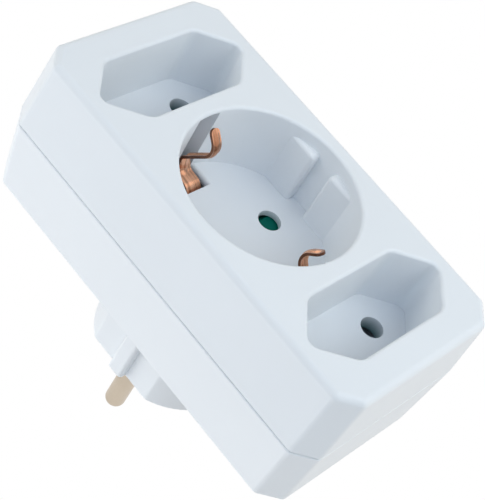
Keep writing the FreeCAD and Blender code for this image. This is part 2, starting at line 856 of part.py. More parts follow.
def add_rear_posts(body):
    """Screw posts with a shoulder for the inner cover, and rests under the two bars."""
    shoulders = sketch_at(body, REAR_INSIDE)
    posts = sketch_at(body, REAR_INSIDE)
    bores = sketch_at(body, SEAM)
    sinks = sketch_at(body, REAR)
    for x, z in screw_places():
        add_circle(shoulders, x, z, "post_radius")
        add_circle(posts, x, z, "boss_radius")
        add_circle(bores, x, z, "screw_radius + screw_gap")
        add_circle(sinks, x, z, "screw_head + head_gap")
    pad(body, shoulders, f"{COVER_BACK} - {REAR_INSIDE}")
    pad(body, posts, f"{SEAM} - {REAR_INSIDE}")
    pocket(body, bores, "rear_depth + 1")
    pocket(body, sinks, "head_sink", forward=True)
    rests = sketch_at(body, REAR_INSIDE)
    half = "rest_width / 2"
    for right in (1, -1):
        for up in (1, -1):
            middle_x = f"{right} * ({BAR_INSIDE} + bar_wall / 2)"
            middle_z = f"{up} * rest_z"
            low = (f"{middle_x} - {half}", f"{middle_z} - {half}")
            high = (f"{middle_x} + {half}", f"{middle_z} + {half}")
            add_box(rests, *low, *high)
    pad(body, rests, f"{BAR_BACK} - {REAR_INSIDE}")


def inner_cover():
    """The plate that closes the contacts off from the shutter, held on the screw posts."""
    body = new_body("inner_cover")
    plate = sketch_at(body, COVER_BACK)
    half_width = f"({CAVITY_X} - cover_gap)"
    add_octagon(plate, half_width, "(cover_tall / 2)", "corner_cut")
    pad(body, plate, "cover_wall")
    ribs = sketch_at(body, COVER_BACK)
    for side in (1, -1):
        near = f"{side} * (bar_outside + rivet_rise + cover_gap)"
        add_box(ribs, near, "-rib_reach", f"{near} + {side} * rib_wall", "rib_reach")
    pad(body, ribs, "rib_rise", rearward=True)
    holes = sketch_at(body, COVER_TOP)
    add_circle(holes, "0", "0", "earth_rivet_radius")
    for x, z in screw_places():
        add_circle(holes, x, z, "boss_radius + cover_gap")
    for side in (1, -1):
        for middle in (-1, 0, 1):
            add_circle(holes, f"{side} * pin_offset", f"{middle} * flat_offset", "cover_hole")
    pocket(body, holes, "cover_wall + 1")
    return body


# Shutter


def shutter():
    """The green bar behind the round recess, which turns aside when both pins press on it."""
    body = new_body("socket_shutter")
    bar = sketch_at(body, SHUTTER_BACK)
    add_centred_box(bar, "shutter_reach", "shutter_width / 2")
    wings = pad(body, bar, "shutter_wall")
    chamfer_edges(body, wings, is_ramp, "shutter_ramp")
    hub = sketch_at(body, SHUTTER_BACK)
    add_circle(hub, "0", "0", "hub_radius")
    pad(body, hub, "shutter_wall")
    bore = sketch_at(body, SHUTTER_TOP)
    add_circle(bore, "0", "0", "pivot_radius + pivot_gap")
    pocket(body, bore, "shutter_wall + 1")
    return body


def is_ramp(point):
    """The front long edges, which the pins press on."""
    return at_height(point, SHUTTER_TOP) and abs(abs(point.z) - value("shutter_width / 2")) < 0.01


def shutter_spring():
    """The folded leaf spring between the shutter and its stop."""
    wall = value("spring_wall")
    half = value("spring_fold")
    length = value("spring_length")
    heights = (wall / 2, wall / 2, length / 3, 2 * length / 3, length - wall / 2, length - wall / 2)
    sides = (-1, 1, -1, 1, -1, 1)
    points = [(side * half, height) for side, height in zip(sides, heights)]
    bends = even_bends(points, value("spring_bend"))
    leaf = bent_face(points, bends, wall / 2, wall / 2)
    solid = leaf.extrude(FreeCAD.Vector(0, 0, value("spring_width")))
    solid.rotate(FreeCAD.Vector(0, 0, 0), FreeCAD.Vector(1, 0, 0), 90)
    piece = set_shape("shutter_spring", solid)
    low = "-(shutter_width / 2 + spring_gap + spring_length)"
    place(piece, "-spring_x", f"{SHUTTER_BACK} + (shutter_wall - spring_width) / 2", low)
    return piece


# Live and neutral


def plug_pin(name, side):
    """A turned pin: its round tip, its collar inside the plug and its riveted end."""
    body = new_body(name)
    half = sketch_at(body, "0", "XY_Plane")
    head_back = f"{FOOT_BACK} + bar_wall"
    corners = [
        ("0", "pin_length"),
        ("pin_radius", "pin_length"),
        ("pin_radius", "shoulder_rise"),
        ("shoulder_radius", "shoulder_rise"),
        ("shoulder_radius", "-plug_end"),
        ("collar_radius", "-plug_end"),
        ("collar_radius", f"-{FOOT_BACK}"),
        ("spigot_radius", f"-{FOOT_BACK}"),
        ("spigot_radius", f"-({head_back})"),
        ("spigot_head", f"-({head_back})"),
        ("spigot_head", f"-({head_back} + spigot_rise)"),
        ("0", f"-({head_back} + spigot_rise)"),
    ]
    add_outline(half, corners)
    turned = revolve(body, half)
    round_edges(body, turned, lambda p: at_height(p, "-pin_length"), "pin_tip")
    body.setExpression("Placement.Base.x", expression(f"{side} * pin_offset"))
    return body


def busbar(name, side):
    """A brass strip on edge that links three contacts, with a tab down to its plug pin."""
    body = new_body(name)
    strip = sketch_at(body, f"{side} * {BAR_INSIDE}", "YZ_Plane")
    half = "tab_width / 2"
    corners = [
        (f"-{COVER_BACK}", "-bar_end"),
        (f"-{COVER_BACK}", "bar_end"),
        (f"-{BAR_BACK}", "bar_end"),
        (f"-{BAR_BACK}", half),
        (f"-{FOOT_BACK}", half),
        (f"-{FOOT_BACK}", f"-{half}"),
        (f"-{BAR_BACK}", f"-{half}"),
        (f"-{BAR_BACK}", "-bar_end"),
    ]
    add_outline(strip, corners)
    pad(body, strip, "bar_wall", rearward=side < 0)
    foot = sketch_at(body, FOOT_BACK)
    outer = f"{side} * bar_outside"
    inner = f"{side} * (pin_offset - foot_reach)"
    add_box(foot, outer, "-foot_width / 2", inner, "foot_width / 2")
    bent = pad(body, foot, "bar_wall")
    round_edges(body, bent, lambda p: is_foot_corner(p, side), "bar_bend")
    hole = sketch_at(body, f"{FOOT_BACK} + bar_wall")
    add_circle(hole, f"{side} * pin_offset", "0", "spigot_radius")
    pocket(body, hole, "bar_wall + 1")
    rivets = sketch_at(body, f"{side} * {BAR_INSIDE}", "YZ_Plane")
    for middle in (-1, 0, 1):
        add_circle(rivets, f"-({COVER_BACK} - clip_tall / 2)", f"{middle} * flat_offset", "rivet_radius")
    through_both_ways(body, rivets, "4 * bar_wall")
    return body


def is_foot_corner(point, side):
    """The outer edge of the bend between the tab and the foot."""
    outside = side * value("bar_outside")
    return at_height(point, FOOT_BACK) and abs(point.x - outside) < 0.01


def contact_clip(name, side, middle):
    """A sprung clip, open towards the middle, that grips one pin from both sides."""
    wall = value("clip_wall")
    web = value("clip_reach") - wall / 2
    half = value("clip_half")
    nose = value("pin_radius - clip_grip") + wall / 2
    mouth = -value("pin_radius") + wall
    shoulder = value("pin_radius") / 2
    upper = [(web, half), (shoulder, half), (0, nose), (mouth, half + wall / 2)]
    lower = [(across, -along) for across, along in upper]
    points = [(across * side, along) for across, along in lower[::-1] + upper]
    face = bent_face(points, even_bends(points, value("clip_bend")), wall / 2, wall / 2)
    solid = face.extrude(FreeCAD.Vector(0, 0, value("clip_tall")))
    solid.rotate(FreeCAD.Vector(0, 0, 0), FreeCAD.Vector(1, 0, 0), 90)
    back = FreeCAD.Vector(side * value(BAR_INSIDE), -value(COVER_BACK), 0)
    hole = Part.makeCylinder(
        value("rivet_radius"),
        4 * wall,
        FreeCAD.Vector(side * (web - 2 * wall), -value("clip_tall") / 2, 0),
        FreeCAD.Vector(side, 0, 0),
    )
    piece = set_shape(name, solid.cut(hole))
    place(piece, f"{side} * pin_offset", f"{COVER_BACK} - clip_tall", f"{middle} * flat_offset")
    return piece


def contact_rivets():
    """The rivets that hold the clips on the bars."""
    rivets = []
    for side, word in ((1, "right"), (-1, "left")):
        outward = FreeCAD.Vector(side, 0, 0)
        for middle in (-1, 0, 1):
            name = f"rivet_{word}_{middle + 1}"
            z = f"{middle} * flat_offset"
            height = f"{COVER_BACK} - clip_tall / 2"
            inside = f"{side} * ({BAR_INSIDE} - clip_wall)"
            outside = f"{side} * bar_outside"
            shank = cylinder(
                f"{name}_shank", "rivet_radius", "clip_wall + bar_wall", inside, height, z, outward
            )
            near = cylinder(
                f"{name}_near", "rivet_head", "rivet_inner_rise", inside, height, z, -outward
            )
            far = cylinder(f"{name}_far", "rivet_head", "rivet_rise", outside, height, z, outward)
            rivets.append(fused(name, [shank, near, far]))
    return group("contact_rivets", rivets)


# Earth


def socket_earth():
    """One copper strip behind the round recess whose two ends come up into it as clips."""
    wall = value("earth_wall")
    base = value(COVER_TOP) + wall / 2
    riser = value("slot_start + riser_gap") + wall / 2
    floor = value(RECESS_FLOOR)
    step = [
        (riser, floor - value("riser_drop")),
        (value("ramp_reach"), floor),
        (value("step_reach"), floor + value("step_rise")),
    ]
    bend = value("earth_bend")
    hook = [
        (value(f"{place_word}_reach"), value(f"{FRONT} - {place_word}_drop"))
        for place_word in ("elbow", "throat", "tip")
    ]
    hook_bends = [bend, value("throat_bend")]
    foot = [(0, base), (riser, base)] + step + hook[:1]
    bead = value("bead_rise")
    solids = []
    for side in (1, -1):
        left, right = (bead, 0) if side > 0 else (0, bead)
        parts = [
            (foot, even_bends(foot, bend), "earth_width", 0, 0),
            (step[2:] + hook, hook_bends, "hook_width", 0, 0),
            (step + hook, [bend, bend] + hook_bends, "bead_width", left, right),
        ]
        for points, bends, width, more_left, more_right in parts:
            line = [(side * across, along) for across, along in points]
            sides = (wall / 2 + more_left, wall / 2 + more_right)
            solid = upright_strip(line, bends, *sides, value(width))
            corners = [edge for edge in solid.Edges if is_tip_corner(edge)]
            solids.append(solid.makeFillet(value("tip_round"), corners) if corners else solid)
    strip = solids[0].multiFuse(solids[1:]).removeSplitter()
    strip.translate(FreeCAD.Vector(-value("earth_shift"), 0, 0))
    return set_shape("socket_earth_strip", strip.cut(earth_rivet_hole()))


def is_tip_corner(edge):
    """The short edges at the corners of the two clips' free ends."""
    wall = value("earth_wall")
    middle = edge.CenterOfMass
    past_side = abs(abs(middle.x) - value("hook_width / 2"))
    past_tip = math.hypot(
        abs(middle.z) - value("tip_reach"), -middle.y - value(f"{FRONT} - tip_drop")
    )
    return past_side < 0.01 and past_tip < 0.01 and edge.Length < wall + 0.01


def plug_earth():
    """A strip across the plug with a leg down either side, sprung out through a window."""
    wall = value("earth_wall")
    top = value(COVER_BACK) - wall / 2
    leg = value("leg_reach")
    straight = value("bulge_high + leg_bulge - leg_reach")
    half = [
        (leg, top),
        (leg, straight),
        (value("leg_bulge"), value("bulge_high")),
        (value("leg_bulge"), value("bulge_low")),
        (leg + wall, value("leg_end")),
    ]
    points = [(-across, along) for across, along in half[::-1]] + half
    bends = even_bends(points, value("earth_bend"))
    strip = upright_strip(points, bends, wall / 2, wall / 2, value("leg_width"))
    return set_shape("plug_earth_strip", strip.cut(earth_rivet_hole()))


def earth_rivet_hole():
    start = FreeCAD.Vector(0, -value(SHUTTER_TOP), 0)
    return Part.makeCylinder(
        value("earth_rivet_radius"), value("cover_wall") * 4, start, FreeCAD.Vector(0, 1, 0)
    )


def earth_rivet():
    """The rivet that joins the two earth strips through the inner cover."""
    back = f"{COVER_BACK} - earth_wall"
    forward = FreeCAD.Vector(0, -1, 0)
    length = f"{EARTH_TOP} - ({back})"
    shank = cylinder("earth_shank", "earth_rivet_radius", length, "0", back, "0", forward)
    head = cylinder(
        "earth_head", "earth_rivet_head", "earth_rivet_rise", "0", EARTH_TOP, "0", forward
    )
    tail = cylinder("earth_tail", "earth_rivet_head", "earth_rivet_rise", "0", back, "0", -forward)
    rivet = fused("earth_rivet", [shank, head, tail])
    rivet.Label = "earth_rivet"
    return rivet


# Screws


def housing_screws():
    """The screws that go in from the back and hold the shells together."""
    forward = FreeCAD.Vector(0, -1, 0)
    screws = []
    for index, (x, z) in enumerate(screw_places()):
        name = f"screw_{index}"
        low = f"{HEAD_SEAT} - screw_head_rise"
        length = f"{SEAM} + screw_bite - {HEAD_SEAT}"
        head = cylinder(f"{name}_head", "screw_head", "screw_head_rise", x, low, z, forward)
        shank = cylinder(f"{name}_shank", "screw_radius", length, x, HEAD_SEAT, z, forward)
        blades = []
        for turn, (wide, tall) in enumerate(
            (("cross_length", "cross_width"), ("cross_width", "cross_length"))
        ):
            blade = DOCUMENT.addObject("Part::Box", f"{name}_blade_{turn}")
            bind(blade, Length=wide, Width="cross_depth", Height=tall)
            place(blade, f"{x} - {wide} / 2", f"{low} + cross_depth", f"{z} - {tall} / 2")
            blades.append(blade)
        cross = fused(f"{name}_cross", blades)
        solid = fused(f"{name}_solid", [head, shank])
        cut = DOCUMENT.addObject("Part::Cut", name)
        cut.Base = solid
        cut.Tool = cross
        screws.append(cut)
    return group("housing_screws", screws)


# Assembly


def build():
    pieces = [front_shell(), rear_shell(), inner_cover(), shutter(), shutter_spring()]
    for pole, side in (("live", 1), ("neutral", -1)):
        pieces.append(plug_pin(f"{pole}_plug_pin", side))
        pieces.append(busbar(f"{pole}_busbar", side))
        for middle, place_word in ((1, "upper_flat"), (0, "round"), (-1, "lower_flat")):
            pieces.append(contact_clip(f"{place_word}_{pole}_contact", side, middle))
    pieces.append(contact_rivets())
    pieces.append(socket_earth())
    pieces.append(plug_earth())
    pieces.append(earth_rivet())
    pieces.append(housing_screws())
    DOCUMENT.recompute()
    return pieces


def check(pieces):
    """Stops if a feature failed, a sub-part isn't sound, or a pad or pocket changed nothing."""
    for thing in DOCUMENT.Objects:
        if "Invalid" in thing.State or "Error" in thing.State:
            raise RuntimeError(f"{thing.Name} failed: {thing.State}")
    for piece in pieces:
        shape = piece.Shape
        if shape.isNull() or not shape.isValid() or not shape.Solids:
            raise RuntimeError(f"{piece.Label} has no sound solid")
        if piece.TypeId == "PartDesign::Body":
            check_features(piece)


def check_features(body):
    volume = 0
    for feature in body.Group:
        if not feature.isDerivedFrom("PartDesign::Feature"):
            continue
        now = feature.Shape.Volume
        cuts = feature.TypeId in ("PartDesign::Pocket", "PartDesign::Thickness")
        grows = feature.TypeId in ("PartDesign::Pad", "PartDesign::AdditiveWedge")
        if (cuts and now >= volume - 1e-6) or (grows and now <= volume + 1e-6):
            raise RuntimeError(f"{feature.Name} in {body.Label} changes nothing")
        volume = now


def write(pieces):
    os.makedirs("parts", exist_ok=True)
    for piece in pieces:
        piece.Shape.exportStep(f"parts/{piece.Label}.step")
        solids = len(piece.Shape.Solids)
        print(f"{piece.Label}: {solids} solid, {piece.Shape.Volume:.1f} mm3")


PIECES = build()
check(PIECES)
write(PIECES)
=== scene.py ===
"""Finishes, light and camera for a white wall adapter with three sockets and a plug."""

import math

import bmesh
import bpy
from bpy.props import FloatProperty, FloatVectorProperty, PointerProperty
from mathutils import Matrix, Vector


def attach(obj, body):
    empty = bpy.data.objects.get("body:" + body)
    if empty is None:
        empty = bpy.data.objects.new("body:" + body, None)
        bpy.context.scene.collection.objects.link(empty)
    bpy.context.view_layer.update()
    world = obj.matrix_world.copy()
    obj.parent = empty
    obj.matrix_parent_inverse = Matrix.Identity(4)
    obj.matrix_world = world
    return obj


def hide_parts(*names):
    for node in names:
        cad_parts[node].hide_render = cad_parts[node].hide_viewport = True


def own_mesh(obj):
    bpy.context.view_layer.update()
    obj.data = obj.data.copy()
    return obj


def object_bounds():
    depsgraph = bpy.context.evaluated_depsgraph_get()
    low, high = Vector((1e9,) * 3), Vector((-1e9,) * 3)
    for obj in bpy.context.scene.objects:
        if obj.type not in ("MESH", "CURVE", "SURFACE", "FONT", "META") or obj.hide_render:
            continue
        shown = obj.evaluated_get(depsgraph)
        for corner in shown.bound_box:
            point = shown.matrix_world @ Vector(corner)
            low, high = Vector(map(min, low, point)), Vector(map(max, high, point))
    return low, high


bl_info = {
    "name": "Wall adapter",
    "version": (1, 0, 0),
    "blender": (4, 5, 0),
    "location": "3D View > Sidebar > Adapter",
    "description": "Pieces, finishes, light and camera of a wall adapter with three sockets",
    "category": "Object",
}

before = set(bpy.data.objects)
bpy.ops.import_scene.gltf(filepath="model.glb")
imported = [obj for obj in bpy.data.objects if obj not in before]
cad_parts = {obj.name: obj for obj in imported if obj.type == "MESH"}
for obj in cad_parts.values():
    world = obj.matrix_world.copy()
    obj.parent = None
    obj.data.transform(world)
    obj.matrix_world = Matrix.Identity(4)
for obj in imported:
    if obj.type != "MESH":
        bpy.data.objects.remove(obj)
CAD_BOX = [list(corner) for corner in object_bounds()]
MM = 0.001


# Settings


def colour(name, description, default):
    """A colour property in linear light."""
    return FloatVectorProperty(
        name=name,
        description=description,
        subtype="COLOR",
        size=3,
        min=0.0,
        max=1.0,
        default=default,
    )


def length(name, description, millimetres):
    """A length property, which Blender keeps in metres."""
    return FloatProperty(
        name=name,
        description=description,
        subtype="DISTANCE",
        unit="LENGTH",
        default=millimetres * MM,
    )


def share(name, description, default):
    """A property between 0 and 1."""
    return FloatProperty(
        name=name, description=description, subtype="FACTOR", min=0.0, max=1.0, default=default
    )


class PlasticSettings(bpy.types.PropertyGroup):
    """Moulded plastics of the shells, the inner cover and the shutter."""

    shell: colour("Shell", "Outside and sockets of the housing", (0.79, 0.82, 0.85))
    # Painted shade: a dark teal laid into the depths of the pin holes, standing in for the shade
    # there.
    painted_hole_shade: colour("Holes", "Shade in the depths of the pin holes", (0.17, 0.29, 0.30))
    inside: colour("Inside", "Plate behind the contacts", (0.62, 0.66, 0.68))
    shutter: colour("Shutter", "Bar behind the round socket's holes", (0.0, 0.125, 0.092))
    gloss: share("Roughness", "Roughness of the moulded surface", 0.42)
    grain: length("Grain", "Size of the mould's spark-eroded texture", 0.22)
    relief: length("Relief", "Depth of the mould's texture", 0.004)


class MetalSettings(bpy.types.PropertyGroup):
    """Colours of the metal pieces."""

    copper: colour("Earth clips", "Copper alloy of the earth clips", (0.95, 0.50, 0.31))
    # Dark copper for real tarnish patches and for the dark lines along the strip, which are partly
    # painted reflected streaks.
    copper_tarnish_and_painted_streaks: colour("Clip tarnish", "Where the clips have darkened", (0.30, 0.13, 0.07))
    # Painted dark reflection: near-black copper on the strip's side faces, standing in for the dark
    # surroundings they mirror.
    copper_edge_painted_reflection: colour("Clip edges", "Sheared edges of the clips", (0.10, 0.055, 0.045))
    nickel: colour("Pins", "Nickel plate of the plug's pins", (0.59, 0.51, 0.41))
    brass: colour("Contacts", "Rolled brass of the hidden contacts", (0.66, 0.50, 0.25))
    steel: colour("Screws", "Zinc plate of the screws and the spring", (0.52, 0.53, 0.55))


class ClipSettings(bpy.types.PropertyGroup):
    """Copper strip whose two ends are the round socket's earth clips."""

    wall: length("Thickness", "Thickness of the strip", 0.6)
    foot_width: length("Foot width", "Width of the strip where it leaves the socket's floor", 4.2)
    hook_width: length("Hook width", "Width of the sprung ends", 2.4)
    shift: length("Shift", "How far the strip sits to one side of its slots", 0.5)
    base: length("Base", "Height of the strip behind the round socket", 35.25)
    riser: length("Riser", "Reach of the part that comes up through the slot", 13.75)
    riser_height: length("Riser height", "Height where that part turns outwards", 38.5)
    ramp_reach: length("Ramp", "Reach where the strip levels out over the slot", 15.3)
    ramp_height: length("Ramp height", "Height of that bend", 39.95)
    step_reach: length("Step", "Reach where the strip turns up again", 18.75)
    step_height: length("Step height", "Height of that bend", 40.2)
    elbow_reach: length("Elbow", "Reach of the elbow at the socket's wall", 19.75)
    elbow_height: length("Elbow height", "Height of the elbow", 44.0)
    throat_reach: length("Throat", "Reach of the corner nearest to the plug", 13.15)
    throat_height: length("Throat height", "Height of that corner", 51.45)
    tip_reach: length("Tip", "Reach of the free end", 17.2)
    tip_height: length("Tip height", "Height of the free end", 55.65)
    bend: length("Bend", "Radius of the tight bends", 0.8)
    foot_bend: length("Foot bend", "Radius of the bends over the slot", 1.6)
    throat_bend: length("Throat bend", "Radius of the throat's bend", 3.3)
    tip_round: length("Tip rounding", "Radius of the free end's corners", 1.05)
    bead_width: length("Bead width", "Width of the pressed bead", 1.0)
    bead_rise: length("Bead rise", "Rise of the pressed bead", 0.28)
    edge: length("Edge", "Radius of the sheared edges", 0.1)
    grid: length("Grid", "Length of one face of the strip's mesh", 0.25)


class StageSettings(bpy.types.PropertyGroup):
    """Camera, lamps and floor."""

    lens: FloatProperty(
        name="Lens", description="Focal length", subtype="DISTANCE_CAMERA", default=102.418
    )
    ambient: FloatProperty(name="Ambient", description="Strength of the room's light", default=0.26)
    power: FloatProperty(name="Lamps", description="Scales every lamp's power", default=1.0)
    floor: colour("Floor", "Floor under the adapter", (0.86, 0.87, 0.88))
    floor_glow: share("Floor's white", "Light added to the floor for the camera alone", 0.62)


# Materials

# The middle part of a noise's range, which holds most of its values
NOISE_RANGE = (0.3, 0.7)

# Plastic: the sizes of its flow clouds and of its patches of gloss, and how light enters it
CLOUD_SIZE = 24 * MM
GLOSS_PATCH = 2.4 * MM
PLASTIC_IOR = 1.49
SUBSURFACE_SHARE = 0.12
SUBSURFACE_REACH = 0.6 * MM

# Metal: sizes of its streaks and of its dark rolling lines, partly painted reflected streaks, and
# how deep they are
STREAK_SIZE = 0.12 * MM
LINE_SPACING = 0.55 * MM
SCRATCH_DEPTH = 0.004 * MM
TARNISH_RANGE = (0.42, 0.72)
LINE_RANGE = (0.48, 0.66)

# Pin holes, whose depths get painted shade: how far out of the middle they are, how far the
# painted shade reaches round them, how deep it fades in, and for each kind of socket its place
# along the housing and its floor
HOLE_OUT = 9.5 * MM
HOLE_NEAR = 3.6 * MM
HOLE_EDGE = 0.2 * MM
HOLE_FADE = 3.6 * MM
HOLE_PLACES = ((31.65 * MM, -42.05 * MM), (0.0, -39.9 * MM))


class Finish:
    """A material with one Principled shader and short calls for the nodes in front of it."""

    def __init__(self, name, base, rough, metal=0.0):
        self.material = bpy.data.materials.new(name)
        self.material.use_nodes = True
        self.tree = self.material.node_tree
        self.shader = self.tree.nodes["Principled BSDF"]
        self.shader.inputs["Base Color"].default_value = (*base, 1.0)
        self.shader.inputs["Roughness"].default_value = rough
        self.shader.inputs["Metallic"].default_value = metal
        self.coordinates = self.tree.nodes.new("ShaderNodeTexCoord").outputs["Object"]

    def stretched(self, scale):
        """Object coordinates with a scale of their own along each axis."""
        mapping = self.tree.nodes.new("ShaderNodeMapping")
        mapping.inputs["Scale"].default_value = scale
        self.tree.links.new(self.coordinates, mapping.inputs["Vector"])
        return mapping.outputs["Vector"]

    def noise(self, size, detail=2.0, vector=None, roughness=0.5):
        """Noise whose blobs are about one size across, in metres."""
        made = self.tree.nodes.new("ShaderNodeTexNoise")
        made.inputs["Scale"].default_value = 1.0 / size
        made.inputs["Detail"].default_value = detail
        made.inputs["Roughness"].default_value = roughness
        self.tree.links.new(vector or self.coordinates, made.inputs["Vector"])
        return made.outputs["Fac"]

    def ramp(self, factor, low, high, start=0.0, end=1.0):
        """Turns a range of a factor into another range of numbers."""
        made = self.tree.nodes.new("ShaderNodeMapRange")
        self.tree.links.new(factor, made.inputs["Value"])
        made.inputs["From Min"].default_value = start
        made.inputs["From Max"].default_value = end
        made.inputs["To Min"].default_value = low
        made.inputs["To Max"].default_value = high
        return made.outputs["Result"]

    def blend(self, factor, first, second):
        """A colour between two colours."""
        made = self.tree.nodes.new("ShaderNodeMix")
        made.data_type = "RGBA"
        self.tree.links.new(factor, made.inputs["Factor"])
        for key, given in (("A", first), ("B", second)):
            socket = next(s for s in made.inputs if s.name == key and s.type == "RGBA")
            if isinstance(given, bpy.types.NodeSocket):
                self.tree.links.new(given, socket)
            else:
                socket.default_value = (*given, 1.0)
        return next(s for s in made.outputs if s.type == "RGBA")

    def relief(self, height, depth, strength):
        """A bump of one depth in metres."""
        made = self.tree.nodes.new("ShaderNodeBump")
        made.inputs["Strength"].default_value = strength
        made.inputs["Distance"].default_value = depth
        self.tree.links.new(height, made.inputs["Height"])
        return made.outputs["Normal"]

    def connect(self, output, name):
        self.tree.links.new(output, self.shader.inputs[name])


def hole_shade(finish, along, floor):
    """Mask of the painted shade in the pin holes of one pair of sockets: how deep a place lies in
    them, from 0 to 1.
    """
    nodes = finish.tree.nodes
    link = finish.tree.links.new
    place = nodes.new("ShaderNodeSeparateXYZ")
    link(finish.coordinates, place.inputs["Vector"])
    deep = finish.ramp(place.outputs["Y"], 0, 1, floor, floor + HOLE_FADE)
    offset = finish.coordinates
    steps = (("ABSOLUTE", None), ("SUBTRACT", (HOLE_OUT, 0.0, along)), ("MULTIPLY", (1, 0, 1)))
    for operation, given in steps:
        step = nodes.new("ShaderNodeVectorMath")
        step.operation = operation
        link(offset, step.inputs[0])
        if given:
            step.inputs[1].default_value = given
        offset = step.outputs["Vector"]
    distance = nodes.new("ShaderNodeVectorMath")
    distance.operation = "LENGTH"
    link(offset, distance.inputs[0])
    inside = finish.ramp(distance.outputs["Value"], 1, 0, HOLE_NEAR, HOLE_NEAR + HOLE_EDGE)
    both = nodes.new("ShaderNodeMath")
    both.operation = "MULTIPLY"
    link(deep, both.inputs[0])
    link(inside, both.inputs[1])
    return both.outputs["Value"]


def plastic_finish(name, base, rough, grain, relief, specular=0.5, painted_hole_shade=None):
    """Spark-eroded moulded plastic: fine grain, faint flow clouds, uneven gloss and, if given,
    painted shade deep in the pin holes.
    """
    finish = Finish(name, base, rough)
    clouds = finish.noise(CLOUD_SIZE)
    paler = [min(1.0, part * 1.006) for part in base]
    darker = [part * 0.992 for part in base]
    tone = finish.blend(finish.ramp(clouds, 0, 1, *NOISE_RANGE), darker, paler)
    # Painted shade: the holes' dark colour is blended in with depth inside the pin holes.
    if painted_hole_shade:
        for along, floor in HOLE_PLACES:
            tone = finish.blend(hole_shade(finish, along, floor), tone, painted_hole_shade)
    finish.connect(tone, "Base Color")
    patches = finish.noise(GLOSS_PATCH, detail=4.0)
    finish.connect(finish.ramp(patches, rough - 0.03, rough + 0.04, *NOISE_RANGE), "Roughness")
    fine = finish.noise(grain, detail=3.0, roughness=0.6)
    finish.connect(finish.relief(fine, relief, 0.6), "Normal")
    finish.shader.inputs["IOR"].default_value = PLASTIC_IOR
    finish.shader.inputs["Specular IOR Level"].default_value = specular
    finish.shader.inputs["Subsurface Weight"].default_value = SUBSURFACE_SHARE
    finish.shader.inputs["Subsurface Radius"].default_value = (1.0, 0.95, 0.9)
    finish.shader.inputs["Subsurface Scale"].default_value = SUBSURFACE_REACH
    return finish.material


def metal_finish(name, base, dark, rough, draw, patch=3 * MM, lines=0.0):
    """Rolled or drawn metal: fine streaks along the work, tarnish in patches, and dark lines along
    the rolling that are partly painted reflected streaks.
    """
    finish = Finish(name, base, rough, metal=1.0)
    drawn = finish.stretched(draw)
    streaks = finish.noise(STREAK_SIZE, detail=4.0, vector=drawn, roughness=0.7)
    stains = finish.noise(patch, detail=5.0, roughness=0.6)
    tone = finish.blend(finish.ramp(stains, 0, 1, *TARNISH_RANGE), base, dark)
    # Dark lines along the rolling: partly real rolling lines, partly painted reflected streaks.
    if lines:
        rolling_lines_and_painted_streaks = finish.noise(LINE_SPACING, detail=3.0, vector=drawn)
        tone = finish.blend(finish.ramp(rolling_lines_and_painted_streaks, 0, lines, *LINE_RANGE), tone, dark)
    finish.connect(tone, "Base Color")
    finish.connect(finish.ramp(streaks, rough - 0.08, rough + 0.12, *NOISE_RANGE), "Roughness")
    finish.connect(finish.relief(streaks, SCRATCH_DEPTH, 0.5), "Normal")
    return finish.material


# Pieces

# Smoothing of the CAD meshes: the angle of an edge that stays sharp and the joining distance
SHARP_DEGREES = 28.0
JOIN_DISTANCE = 1e-6

# Mesh of the earth clips: faces across it, and the bevel on its sheared edges
COLUMNS = 16
EDGE_SEGMENTS = 3
EDGE_DEGREES = 40.0

# The strip widens from the hook's length to this many times it
WIDENING = 1.3

# Where the pressed bead runs out, measured along the strip from its free end
BEAD_END = (18 * MM, 20 * MM)


def cad(name):
    """The object that carries one CAD node."""
    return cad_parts[name]


def smooth_shading():
    """A modifier group that joins a CAD mesh's corners and smooths it between its sharp edges."""
    name = "smooth_between_edges"
    if name in bpy.data.node_groups:
        return bpy.data.node_groups[name]
    group = bpy.data.node_groups.new(name, "GeometryNodeTree")
    for direction in ("INPUT", "OUTPUT"):
        group.interface.new_socket(
            "Geometry", in_out=direction, socket_type="NodeSocketGeometry"
        )
    nodes = group.nodes
    start = nodes.new("NodeGroupInput")
    end = nodes.new("NodeGroupOutput")
    merge = nodes.new("GeometryNodeMergeByDistance")
    merge.inputs["Distance"].default_value = JOIN_DISTANCE
    faces = nodes.new("GeometryNodeSetShadeSmooth")
    faces.domain = "FACE"
    edges = nodes.new("GeometryNodeSetShadeSmooth")
    edges.domain = "EDGE"
    edges.inputs["Shade Smooth"].default_value = False
    angle = nodes.new("GeometryNodeInputMeshEdgeAngle")
    sharp = nodes.new("ShaderNodeMath")
    sharp.operation = "GREATER_THAN"
    sharp.inputs[1].default_value = math.radians(SHARP_DEGREES)
    link = group.links.new
    link(start.outputs["Geometry"], merge.inputs["Geometry"])
    link(merge.outputs["Geometry"], faces.inputs["Geometry"])
    link(faces.outputs["Geometry"], edges.inputs["Geometry"])
    link(angle.outputs["Unsigned Angle"], sharp.inputs[0])
    link(sharp.outputs["Value"], edges.inputs["Selection"])
    link(edges.outputs["Geometry"], end.inputs["Geometry"])
    return group


def finish_cad(name, material):
    """Gives a CAD node its material and smooth shading between its edges."""
    piece = cad(name)
    if not piece.material_slots:
        piece.data.materials.append(None)
    for slot in piece.material_slots:
        slot.link = "OBJECT"
        slot.material = material
    shading = piece.modifiers.new("shading", "NODES")
    shading.node_group = smooth_shading()
    weighting = piece.modifiers.new("weighting", "WEIGHTED_NORMAL")
    weighting.keep_sharp = True
    weighting.weight = 50


